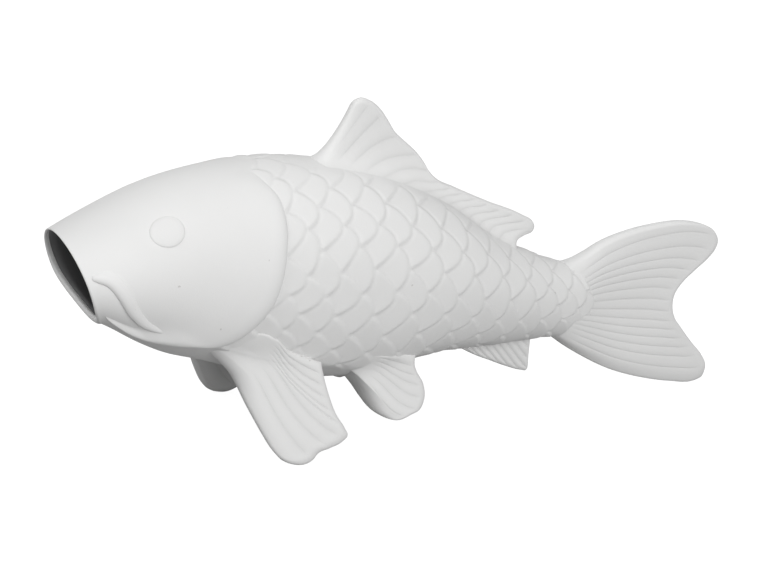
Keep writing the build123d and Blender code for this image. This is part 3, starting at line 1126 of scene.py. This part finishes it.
@dataclass(frozen=True)
class ClayGrain:
    """Pattern of fired clay: fine grain, faint cloudy tone and rare dark specks, all from noise.

    Attributes:
        grain_detail: Detail of the grain's noise.
        cloud_detail: Detail of the clouds' noise.
        speck_scale: Scale of the noise whose peaks are specks.
        tone_range: Tone of the darkest and the palest cloud.
        rough_range: Roughness of the finest and the coarsest grain.
        speck_range: Levels of noise between which a speck comes up.
    """

    grain_detail: float = 3.0
    cloud_detail: float = 4.0
    speck_scale: float = 420.0
    tone_range: tuple[float, float] = (0.965, 1.02)
    rough_range: tuple[float, float] = (0.72, 0.92)
    speck_range: tuple[float, float] = (0.88, 0.91)

    def group(self) -> bpy.types.ShaderNodeTree:
        """Build the node group that all finishes share.

        Returns:
            The group, with inputs Grain Scale and Cloud Scale and outputs Tone, Speck, Rough and Height.
        """
        group = bpy.data.node_groups.new("clay_grain", "ShaderNodeTree")
        for name in ("Grain Scale", "Cloud Scale"):
            group.interface.new_socket(name, in_out="INPUT", socket_type="NodeSocketFloat")
        for name in ("Tone", "Speck", "Rough", "Height"):
            group.interface.new_socket(name, in_out="OUTPUT", socket_type="NodeSocketFloat")
        nodes, links = group.nodes, group.links
        start, end = nodes.new("NodeGroupInput"), nodes.new("NodeGroupOutput")
        place = nodes.new("ShaderNodeTexCoord")
        grain, cloud, speck = (nodes.new("ShaderNodeTexNoise") for _ in range(3))
        for noise, detail in ((grain, self.grain_detail), (cloud, self.cloud_detail), (speck, 0.0)):
            noise.inputs["Detail"].default_value = detail
            links.new(place.outputs["Object"], noise.inputs["Vector"])
        links.new(start.outputs["Grain Scale"], grain.inputs["Scale"])
        links.new(start.outputs["Cloud Scale"], cloud.inputs["Scale"])
        speck.inputs["Scale"].default_value = self.speck_scale
        tone, rough, spot = (nodes.new("ShaderNodeMapRange") for _ in range(3))
        spot.interpolation_type = "SMOOTHSTEP"
        for ranged, way, limits in (
            (tone, "To", self.tone_range), (rough, "To", self.rough_range), (spot, "From", self.speck_range),
        ):
            ranged.inputs[f"{way} Min"].default_value, ranged.inputs[f"{way} Max"].default_value = limits
        for noise, ranged, name in ((cloud, tone, "Tone"), (speck, spot, "Speck"), (grain, rough, "Rough")):
            links.new(noise.outputs["Fac"], ranged.inputs["Value"])
            links.new(ranged.outputs["Result"], end.inputs[name])
        links.new(grain.outputs["Fac"], end.inputs["Height"])
        return group


@dataclass(frozen=True)
class Finish:
    """One fired surface.

    Attributes:
        name: The material's name.
        colour: Colour of the plain surface.
        painted_shade_colour: Darker colour painted in the depth of the carving as shade.
        speck_colour: Colour of a speck.
        grain_scale: Scale of the grain's noise.
        cloud_scale: Scale of the clouds' noise.
        bump: Strength of the grain's bump.
        specular: Level of the plain reflection.
        bump_m: Height of that bump in metres.
    """

    name: str
    colour: Triple
    painted_shade_colour: Triple
    speck_colour: Triple
    grain_scale: float
    cloud_scale: float
    bump: float
    specular: float
    bump_m: float = 0.0002

    def material(self, grain: bpy.types.ShaderNodeTree) -> bpy.types.Material:
        """Build the node material: colour darkened by painted shade with the depth of carving, times the
        cloudy tone, under the specks.

        Args:
            grain: The shared clay grain group.

        Returns:
            The material.
        """
        made = bpy.data.materials.new(self.name)
        made.use_nodes = True
        nodes, links = made.node_tree.nodes, made.node_tree.links
        shader = nodes["Principled BSDF"]
        shader.inputs["Specular IOR Level"].default_value = self.specular
        clay = nodes.new("ShaderNodeGroup")
        clay.node_tree = grain
        clay.inputs["Grain Scale"].default_value = self.grain_scale
        clay.inputs["Cloud Scale"].default_value = self.cloud_scale
        # Painted shade: the groove attribute mixes the colour towards the darker painted shade colour where
        # the carving is deep.
        carved = nodes.new("ShaderNodeAttribute")
        carved.attribute_name = "groove"
        shade, spotted = (nodes.new("ShaderNodeMix") for _ in range(2))
        shade.data_type = spotted.data_type = "RGBA"
        shade.inputs["A"].default_value = (*self.colour, 1)
        shade.inputs["B"].default_value = (*self.painted_shade_colour, 1)
        spotted.inputs["B"].default_value = (*self.speck_colour, 1)
        cloudy = nodes.new("ShaderNodeVectorMath")
        cloudy.operation = "SCALE"
        bump = nodes.new("ShaderNodeBump")
        bump.inputs["Strength"].default_value = self.bump
        bump.inputs["Distance"].default_value = self.bump_m
        links.new(carved.outputs["Fac"], shade.inputs["Factor"])
        links.new(shade.outputs["Result"], cloudy.inputs[0])
        links.new(clay.outputs["Tone"], cloudy.inputs["Scale"])
        links.new(cloudy.outputs["Vector"], spotted.inputs["A"])
        links.new(clay.outputs["Speck"], spotted.inputs["Factor"])
        links.new(spotted.outputs["Result"], shader.inputs["Base Color"])
        links.new(clay.outputs["Rough"], shader.inputs["Roughness"])
        links.new(clay.outputs["Height"], bump.inputs["Height"])
        links.new(bump.outputs["Normal"], shader.inputs["Normal"])
        return made


BISQUE = Finish(
    name="white_bisque",
    colour=(0.80, 0.80, 0.795),
    # Painted shade colour for the depth of the carving.
    painted_shade_colour=(0.71, 0.71, 0.705),
    speck_colour=(0.62, 0.61, 0.60),
    grain_scale=1500.0,
    cloud_scale=22.0,
    bump=0.25,
    specular=0.25,
)
DARK_GLAZE = Finish(
    name="dark_inner_glaze",
    colour=(0.15, 0.15, 0.152),
    # Painted shade colour for the depth of the carving; the lining has no carving.
    painted_shade_colour=(0.07, 0.07, 0.07),
    speck_colour=(0.14, 0.14, 0.14),
    grain_scale=500.0,
    cloud_scale=30.0,
    bump=0.15,
    specular=0.4,
)


def seen_directly(nodes: bpy.types.Nodes, links: bpy.types.NodeLinks) -> bpy.types.NodeSocket:
    """A mask of rays: the greater of the light path's camera, mirror and glass outputs.

    Args:
        nodes: Nodes of the tree that needs the mask.
        links: Links of that tree.

    Returns:
        A socket that gives 1 for rays from the camera, mirrors and glass, and 0 for rays that light the fish.
    """
    path = nodes.new("ShaderNodeLightPath")
    first, second = (nodes.new("ShaderNodeMath") for _ in range(2))
    first.operation = second.operation = "MAXIMUM"
    links.new(path.outputs["Is Camera Ray"], first.inputs[0])
    links.new(path.outputs["Is Glossy Ray"], first.inputs[1])
    links.new(first.outputs[0], second.inputs[0])
    links.new(path.outputs["Is Transmission Ray"], second.inputs[1])
    return second.outputs[0]


@dataclass(frozen=True)
class Lamp:
    """One square soft lamp, placed and sized in metres, with its power in watts."""

    name: str
    place: Triple
    size: float
    power: float

    def hang(self, target: Triple) -> None:
        """Hang the lamp so that it faces a point: its back axis runs from that point to the lamp.

        Args:
            target: The point in metres.
        """
        data = bpy.data.lights.new(self.name, "AREA")
        data.size, data.energy = self.size, self.power
        lamp = bpy.data.objects.new(self.name, data)
        back = unit(np.array(self.place) - np.array(target))
        right = unit(np.cross([0.0, 0.0, 1.0], back))
        axes = np.stack([right, np.cross(back, right), back], 1)
        lamp.matrix_world = Matrix.Translation(self.place) @ Matrix(axes.tolist()).to_4x4()
        bpy.context.scene.collection.objects.link(lamp)


@dataclass
class Studio:
    """Floor, soft light and the camera at the photograph's angle.

    Attributes:
        image_width: Width of the picture in pixels.
        focal_pixels: Focal length in those pixels.
        azimuth: Turn of the camera about the upright in degrees.
        elevation: Angle of the camera over the floor in degrees.
        roll: Turn of the picture about the line of sight in degrees.
        eye_mm: Place of the camera.
        sensor: Width of the camera's sensor in millimetres.
        clip_end: Furthest distance that the camera sees, in metres.
        sky_light: Strength of the light from all round.
        floor_size: Side of the floor in metres.
        floor_tone: Grey of the floor under bounced light.
        floor_roughness: Roughness of the floor.
        floor_glow: Glow that makes the floor white to the camera.
        aim: Point that the lamps face, in metres.
        lamps: The soft lamps.
    """

    image_width: float = 760.0
    focal_pixels: float = 2200.0
    azimuth: float = -30.3356
    elevation: float = 19.5231
    roll: float = 7.0
    eye_mm: Triple = (-563.12, -926.82, 456.23)
    sensor: float = 36.0
    clip_end: float = 100.0
    sky_light: float = 0.34
    floor_size: float = 6.0
    floor_tone: float = 0.25
    floor_roughness: float = 0.9
    floor_glow: float = 0.95
    aim: Triple = (0.0, 0.0, 0.08)
    lamps: tuple[Lamp, ...] = (
        Lamp("overhead_softbox", (-1.35, -0.1, 1.4), 1.4, 12.8),
        Lamp("front_softbox", (-0.15, -2.2, 0.95), 1.6, 34.0),
        Lamp("back_softbox", (0.3, 2.3, 1.1), 1.6, 10.0),
    )

    def camera(self) -> None:
        """Place the camera: its right and up turn about the line of sight by the roll of the picture."""
        az, el, roll = np.radians([self.azimuth, self.elevation, self.roll])
        back = np.array([np.sin(az) * np.cos(el), -np.cos(az) * np.cos(el), np.sin(el)])
        right = np.array([np.cos(az), np.sin(az), 0.0])
        up = np.cross(back, right)
        turned_right = right * np.cos(roll) + up * np.sin(roll)
        turned_up = up * np.cos(roll) - right * np.sin(roll)
        data = bpy.data.cameras.new("photo_camera")
        data.sensor_width = self.sensor
        data.lens = self.sensor * self.focal_pixels / self.image_width
        data.clip_end = self.clip_end
        eye = bpy.data.objects.new("photo_camera", data)
        axes = np.stack([turned_right, turned_up, back], 1)
        eye.matrix_world = Matrix.Translation(np.array(self.eye_mm) * MM) @ Matrix(axes.tolist()).to_4x4()
        bpy.context.scene.collection.objects.link(eye)
        bpy.context.scene.camera = eye

    def world(self) -> None:
        """Even soft light from all round, seen as white by the camera and in reflections."""
        world = bpy.data.worlds.new("studio")
        bpy.context.scene.world = world
        world.use_nodes = True
        nodes, links = world.node_tree.nodes, world.node_tree.links
        sky = nodes["Background"]
        sky.inputs["Color"].default_value = WHITE
        strength = nodes.new("ShaderNodeMapRange")
        strength.inputs["To Min"].default_value = self.sky_light
        strength.inputs["To Max"].default_value = 1.0
        links.new(seen_directly(nodes, links), strength.inputs["Value"])
        links.new(strength.outputs["Result"], sky.inputs["Strength"])

    def floor(self) -> None:
        """A plain pale sheet: white to the camera with the fish's soft shadow, greyer to bounced light."""
        size = self.floor_size / 2
        corners = [(-size, -size, 0), (size, -size, 0), (size, size, 0), (-size, size, 0)]
        mesh = bpy.data.meshes.new("studio_floor")
        mesh.from_pydata(corners, [], [(0, 1, 2, 3)])
        paper = bpy.data.materials.new("pale_paper")
        paper.use_nodes = True
        nodes, links = paper.node_tree.nodes, paper.node_tree.links
        shader = nodes["Principled BSDF"]
        shader.inputs["Base Color"].default_value = (self.floor_tone, self.floor_tone, self.floor_tone, 1)
        shader.inputs["Roughness"].default_value = self.floor_roughness
        shader.inputs["Specular IOR Level"].default_value = 0.0
        shader.inputs["Emission Color"].default_value = WHITE
        glow = nodes.new("ShaderNodeMath")
        glow.operation = "MULTIPLY"
        glow.inputs[1].default_value = self.floor_glow
        links.new(seen_directly(nodes, links), glow.inputs[0])
        links.new(glow.outputs[0], shader.inputs["Emission Strength"])
        mesh.materials.append(paper)
        sheet = bpy.data.objects.new("studio_floor", mesh)
        bpy.context.scene.collection.objects.link(sheet)

    def build(self) -> None:
        """Set the view and put up the camera, the light from all round, the floor and the lamps."""
        bpy.context.scene.view_settings.view_transform = "Standard"
        self.camera()
        self.world()
        self.floor()
        for lamp in self.lamps:
            lamp.hang(self.aim)


def dorsal_fin() -> Fin:
    """The fin along the back: a tall sail in front and a low ridge behind.

    Returns:
        The fin, ready to build.
    """
    outline = FinOutline(
        lead=[(130, 142), (134.5, 144.4), (138, 147.8), (142.5, 153.6), (146.2, 159.7), (149.1, 165.4),
              (151.6, 171.1)],
        rim=[(151.6, 171.1), (153.9, 173.9), (156.9, 174.9), (162.5, 173.3), (168.5, 169), (172.9, 163.9),
             (178.4, 156.8), (185.7, 150.9), (191.9, 146), (196.9, 140.7), (200.9, 135.4), (206.3, 130.7),
             (217.6, 125.7), (238.2, 117.3), (262.4, 108.1), (268.9, 104.6), (271, 101.4)],
        trail=[(252, 83), (259.5, 89.5), (260.8, 93.8), (264.3, 95.9), (270.4, 98.7), (271, 101.4)],
        root=[(130, 142), (165, 132), (200, 116), (230, 96), (252, 83)],
    )
    return Fin(
        "dorsal_sail", "dorsal_fin", outline, root_half=5.0, rim_half=2.6, rays=17,
        saddle=5.5, saddle_reach=3.0,
        ray_depth=0.5, ray_shear=0.26, ray_curl=0.6, lead_slant=0.25, ray_crowding=0.9, ray_start=0.22,
        lead_round=0.05, trail_round=0.04, nu=280,
    )


def tail_fin() -> Fin:
    """The forked tail, fanned from the end of the stem.

    Returns:
        The fin, ready to build.
    """
    outline = FinOutline(
        lead=[(284, 76), (292, 79), (299, 80.9), (306.1, 84.3), (315.7, 89.8), (332.4, 95.4), (349.8, 98.4),
              (365.9, 99.4), (377.2, 98), (387.1, 94.9)],
        rim=[(387.1, 94.9), (393.7, 90.1), (395.9, 86), (394.7, 80.5), (391, 75.9), (382.2, 68.4),
             (375.2, 61.6), (371.8, 55.4), (371.8, 48.1), (374.5, 41.4), (380.6, 34.4), (390, 24.6),
             (398.3, 16.5), (402.5, 10), (401.5, 2)],
        trail=[(287, 40), (300, 31), (314, 23), (336, 12.6), (358, 5.8), (380, 1.4), (394, 0.0), (401.5, 2)],
        root=[(284, 76), (284, 58), (287, 40)],
    )
    return Fin(
        "tail_fan", "tail_fin", outline, root_half=12.5, rim_half=2.6, rays=15,
        spindle=0.55, taper=2.3,
        ray_depth=0.55, ray_bow=0.2, root_gather=0.75, ray_sharpness=0.28, ray_start=0.20, ray_end=0.98,
        lead_round=0.035, trail_round=0.09, rim_round=0.04, nu=320, nv=110, floor=True,
    )


def anal_fin() -> Fin:
    """The small fin under the tail stem, with its long lower edge as the rim.

    Returns:
        The fin, ready to build.
    """
    outline = FinOutline(
        lead=[(217, 49), (219, 46), (222, 42)],
        rim=[(222, 42), (235, 34), (245, 29), (255, 25), (265, 21), (276, 17.6), (279, 17.2), (280, 19)],
        trail=[(276, 48), (278.5, 36), (279, 28), (280, 19)],
        root=[(217, 49), (250, 51), (276, 48)],
    )
    return Fin(
        "anal_blade", "anal_fin", outline, root_half=4.0, rim_half=2.4, rays=9,
        ray_depth=0.9, ray_shear=0.55, ray_sharpness=0.6, ray_start=0.2, ray_end=0.99,
        rim_round=0.12, nu=160, nv=80,
    )


def breast_fin(side: Side) -> Fin:
    """A breast fin: a broad fleshy paddle that the fish stands on, with rays fanned from behind the gill.

    Args:
        side: The flank.

    Returns:
        The fin, ready to build.
    """
    outline = FinOutline(
        lead=[(70, 57.5), (81.3, 48.9), (85.2, 44.6), (88, 39.8), (90, 35.2), (92.6, 29.4), (96.2, 22.6),
              (99.8, 16.1), (105.4, 7.4), (109.5, 3)],
        rim=[(109.5, 3), (115.3, 0.4), (122.9, -0.2), (127.3, 1.8), (129.7, 4.2), (136.5, 6.2), (143.4, 8.5),
             (146.9, 11.6), (145.4, 15.1), (140.6, 22.3), (136.9, 31.1), (134.4, 39), (131.7, 49.2)],
        trail=[(89.4, 68.6), (95.4, 69.8), (102.5, 66.7), (112.1, 58.1), (121.6, 53.3), (131.7, 49.2)],
        root=[(70, 57.5), (79, 63.5), (89.4, 68.6)],
    )
    return Fin(
        f"{side.word}_pectoral_paddle", f"{side.word}_pectoral_fin", outline,
        root_half=3.4, rim_half=2.8, rays=9, side=side,
        tilt=15.0, foot_y=47.0, hug=6.0, hug_sink=2.8, front_sink=2.0,
        lead_extra=2.4, root_share=0.15, root_round=0.3, root_power=1.5, inner_web=10.0, inner_round=0.06,
        ray_depth=0.65, ray_crowding=1.5, ray_sway=-0.03, ray_start=0.36,
        lead_round=0.26, trail_round=0.08, rim_round=0.08, nu=240, nv=140, floor=True,
    )


def belly_fin(side: Side) -> Fin:
    """A belly fin: a shorter paddle that hangs clear of the floor.

    Args:
        side: The flank.

    Returns:
        The fin, ready to build.
    """
    outline = FinOutline(
        lead=[(152, 37), (156.5, 33.5), (159.2, 29.8), (162.2, 25.7), (165.6, 20.2), (169.5, 15.4),
              (178, 12)],
        rim=[(178, 12), (183.5, 11.5), (190, 13.4), (195.4, 15.4), (198.4, 22.2), (197.2, 29), (193.4, 35),
             (191.8, 39), (192, 43.8)],
        trail=[(156.5, 48.1), (163.5, 49.5), (175.9, 47.9), (192, 43.8)],
        root=[(152, 37), (153, 43), (156.5, 48.1)],
    )
    return Fin(
        f"{side.word}_pelvic_paddle", f"{side.word}_pelvic_fin", outline,
        root_half=3.4, rim_half=2.8, rays=7, side=side,
        tilt=12.0, foot_y=33.6, hug=5.0, hug_sink=3.0, front_sink=12.0, front_round=0.22,
        lead_extra=3.0, root_share=0.15, root_round=0.5, root_power=2.4,
        inner_web=4.0, inner_lead=1.0, inner_round=0.06,
        ray_depth=0.45, ray_crowding=1.3, ray_sway=-0.03, ray_start=0.34, ray_end=0.95,
        lead_round=0.14, trail_round=0.08, rim_round=0.10, nv=110,
    )


def main() -> None:
    """Build the fish piece by piece, then the studio round it."""
    logging.basicConfig(level=logging.INFO, format="%(name)s: %(message)s")
    grain = ClayGrain().group()
    bisque, glaze = BISQUE.material(grain), DARK_GLAZE.material(grain)
    form = BodyForm(nose_x=CAD_BOX[0][0] / MM)
    CastBody(form).build(bisque)
    Lining(form).build(glaze)
    for side in Side:
        GillCover(form, side).build(bisque)
        Eye(form, side).build(bisque)
        Barbel(form, side).build(bisque)
    for fin in (dorsal_fin(), tail_fin(), anal_fin()):
        fin.build(form, bisque)
    for side in Side:
        breast_fin(side).build(form, bisque)
        belly_fin(side).build(form, bisque)
    Studio().build()


if __name__ == "__main__":
    main()
